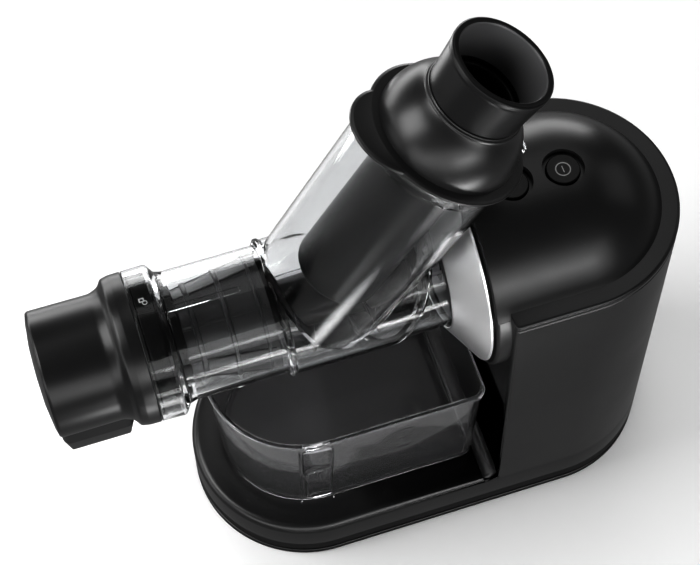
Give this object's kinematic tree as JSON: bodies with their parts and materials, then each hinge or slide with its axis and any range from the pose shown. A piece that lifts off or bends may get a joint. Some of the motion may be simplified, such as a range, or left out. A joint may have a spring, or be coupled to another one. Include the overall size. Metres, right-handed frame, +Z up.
{
  "type": "cold press juicer",
  "caption": "Horizontal slow juicer: motor housing with dome cover, clear drum with slanted feed chute and pusher, auger and screen, pulp cap, and a clear juice container on its base.",
  "frame": {"origin": "middle of the stadium footprint, on the ground, under the middle foot", "axes": "+X along the drum axis from the end cap towards the motor, -Y is the front where the container pulls out, +Z up"},
  "size_m": [0.4171, 0.16, 0.4556],
  "materials": {
    "black_satin": "satin moulded ABS",
    "black_gloss": "semi-gloss moulded plastic",
    "silver_paint": "satin silver",
    "clear_plastic": "clear moulded copolyester",
    "rubber": "matt",
    "silicone": "matt silicone",
    "steel": "ground",
    "screw_steel": "zinc plated",
    "spring_steel": "drawn wire",
    "die_cast": "as cast",
    "motor_iron": "laminated",
    "copper_coil": "enamelled wire",
    "bronze": "sintered",
    "gear_nylon": "moulded nylon",
    "board_green": "solder mask",
    "auger_plastic": "moulded",
    "screen_plastic": "moulded with mesh windows"
  },
  "bodies": {
    "housing": {"bottom_plate": "black_satin", "rubber_feet": "rubber", "plate_screws": "screw_steel", "body_shell": "black_satin", "top_cover": "black_satin", "cover_screws": "screw_steel", "nose_plate": "black_gloss", "bezel_ring": "silver_paint", "start_spring": "spring_steel", "release_spring": "spring_steel", "control_board": "board_green", "cord_gland": "rubber", "motor_stator": "motor_iron", "motor_coils": "copper_coil", "motor_bracket": "steel", "motor_bridge": "steel", "chassis_screws": "screw_steel", "gear_case": "die_cast", "gear_case_cover": "die_cast", "case_screws": "screw_steel", "shaft_bearings": "steel", "idler_bushes": "bronze", "shaft_seal": "silicone", "drum_seal": "silicone"},
    "start_key": {"start_button": "black_satin"},
    "release_key": {"release_button": "black_satin"},
    "output": {"output_wheel": "gear_nylon", "drive_shaft": "steel"},
    "idler": {"idler_shaft": "steel", "idler_wheel": "gear_nylon", "idler_pinion": "steel"},
    "rotor": {"rotor_core": "motor_iron", "rotor_shaft": "steel", "cooling_fan": "gear_nylon"},
    "drum": {"drum": "clear_plastic", "screen": "screen_plastic", "screen_holder": "black_satin"},
    "auger": {"auger": "auger_plastic"},
    "cap": {"end_cap": "black_satin", "cap_seal": "silicone"},
    "lid": {"chute_lid": "black_gloss"},
    "pusher": {"pusher": "black_satin"},
    "small_pusher": {"small_pusher": "black_satin"},
    "container": {"juice_container": "clear_plastic"}
  },
  "joints": [
    {"name": "start_press", "type": "slide", "parent": "housing", "child": "start_key", "axis": [0, 0, -1], "range_m": [0, 0.003], "stiffness_N_per_m": 300, "springref_m": -0.004, "deforming": ["start_spring"]},
    {"name": "release_press", "type": "slide", "parent": "housing", "child": "release_key", "axis": [0, 0, -1], "range_m": [0, 0.003], "stiffness_N_per_m": 300, "springref_m": -0.004, "deforming": ["release_spring"]},
    {"name": "output_spin", "type": "hinge", "parent": "housing", "child": "output", "pos_m": [0.04, 0, 0.236], "axis": [1, 0, 0], "continuous": true},
    {"name": "idler_spin", "type": "hinge", "parent": "housing", "child": "idler", "pos_m": [0.05, 0, 0.17475], "axis": [1, 0, 0], "continuous": true},
    {"name": "rotor_spin", "type": "hinge", "parent": "housing", "child": "rotor", "pos_m": [0.1, 0, 0.12225], "axis": [1, 0, 0], "continuous": true},
    {"name": "drum_pull", "type": "slide", "parent": "housing", "child": "drum", "axis": [-1, 0, 0], "range_m": [0, 0.1]},
    {"name": "auger_spin", "type": "hinge", "parent": "drum", "child": "auger", "pos_m": [-0.1, 0, 0.236], "axis": [1, 0, 0], "continuous": true},
    {"name": "cap_twist", "type": "hinge", "parent": "drum", "child": "cap", "pos_m": [-0.2, 0, 0.236], "axis": [1, 0, 0], "range_deg": [0, 30]},
    {"name": "lid_lift", "type": "slide", "parent": "drum", "child": "lid", "axis": [0.4787, 0, 0.878], "range_m": [0, 0.04]},
    {"name": "pusher_lift", "type": "slide", "parent": "lid", "child": "pusher", "axis": [0.4787, 0, 0.878], "range_m": [0, 0.16]},
    {"name": "small_pusher_lift", "type": "slide", "parent": "pusher", "child": "small_pusher", "axis": [0.4787, 0, 0.878], "range_m": [0, 0.15]},
    {"name": "container_pull", "type": "slide", "parent": "housing", "child": "container", "axis": [0, -1, 0], "range_m": [0, 0.15]}
  ],
  "couplings": [
    {"joint": "idler_spin", "follows": "output_spin", "ratio": -4},
    {"joint": "rotor_spin", "follows": "output_spin", "ratio": 16},
    {"joint": "auger_spin", "follows": "output_spin", "ratio": 1}
  ]
}
